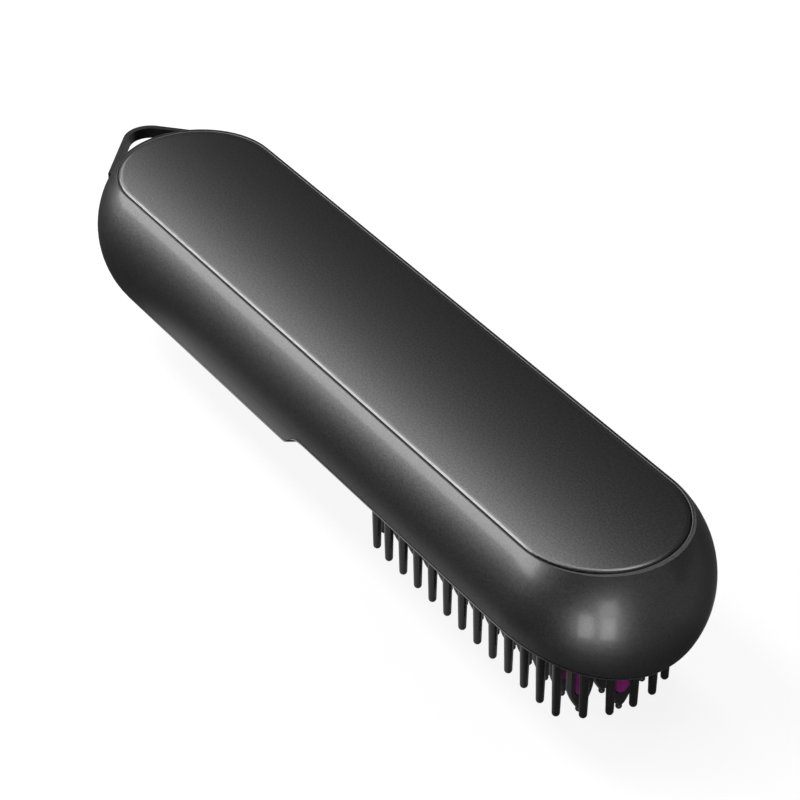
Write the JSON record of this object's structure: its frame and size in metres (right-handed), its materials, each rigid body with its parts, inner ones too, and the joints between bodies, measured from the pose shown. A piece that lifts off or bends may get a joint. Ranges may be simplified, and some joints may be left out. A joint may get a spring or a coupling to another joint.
{
  "type": "cordless hot comb",
  "caption": "Cordless hot comb: round-ended housing with a flat back, stepped crowned face, guarded heated teeth inside a ring of plain pins, battery handle, hanging loop, push button.",
  "frame": {"origin": "middle of the bounding box in plan, at the height of the longest teeth's tips", "axes": "+X along the housing from the hanging loop to the head, +Z out of the flat back panel, away from the teeth"},
  "size_m": [0.2168, 0.05, 0.0465],
  "materials": {
    "housing": "dark grey metallic, semi-gloss",
    "panel": "dark grey metallic, satin with fine grain",
    "black_satin": "black satin",
    "black_gloss": "black gloss",
    "heater_coating": "magenta ceramic coating",
    "heater_core": "bare, with film insulation",
    "steel": "plated",
    "sensor_bead": "epoxy bead",
    "shield_plastic": "heat resisting plastic",
    "cell": "sleeved battery cell",
    "inner_plastic": "moulded, unpainted",
    "board": "green solder mask",
    "switch_plastic": "moulded",
    "button": "satin black",
    "window": "smoked clear pane"
  },
  "bodies": {
    "comb": {"main_housing": "housing", "back_panel": "panel", "hanging_loop": "black_satin", "front_cover": "black_gloss", "comb_plate": "black_gloss", "tooth_guard_left": "black_satin", "tooth_guard_middle": "black_satin", "tooth_guard_right": "black_satin", "heater_plate": "heater_coating", "ptc_heater": "heater_core", "heater_clamp": "steel", "thermal_fuse": "steel", "temperature_sensor": "sensor_bead", "heat_shield": "shield_plastic", "battery_cell_left": "cell", "battery_cell_right": "cell", "battery_tabs": "steel", "battery_tray": "inner_plastic", "main_board": "board", "power_switch": "switch_plastic", "display_module": "inner_plastic", "display_window": "window", "charge_port": "steel", "charge_board": "board", "cover_screws": "steel", "heater_screws": "steel", "clamp_screws": "steel", "board_screws": "steel"},
    "button": {"power_button": "button"}
  },
  "joints": [
    {"name": "power_button_press", "type": "slide", "parent": "comb", "child": "button", "axis": [0, 0, 1], "range_m": [0, 0.0005], "stiffness_N_per_m": 2000, "springref_m": -0.0005}
  ]
}
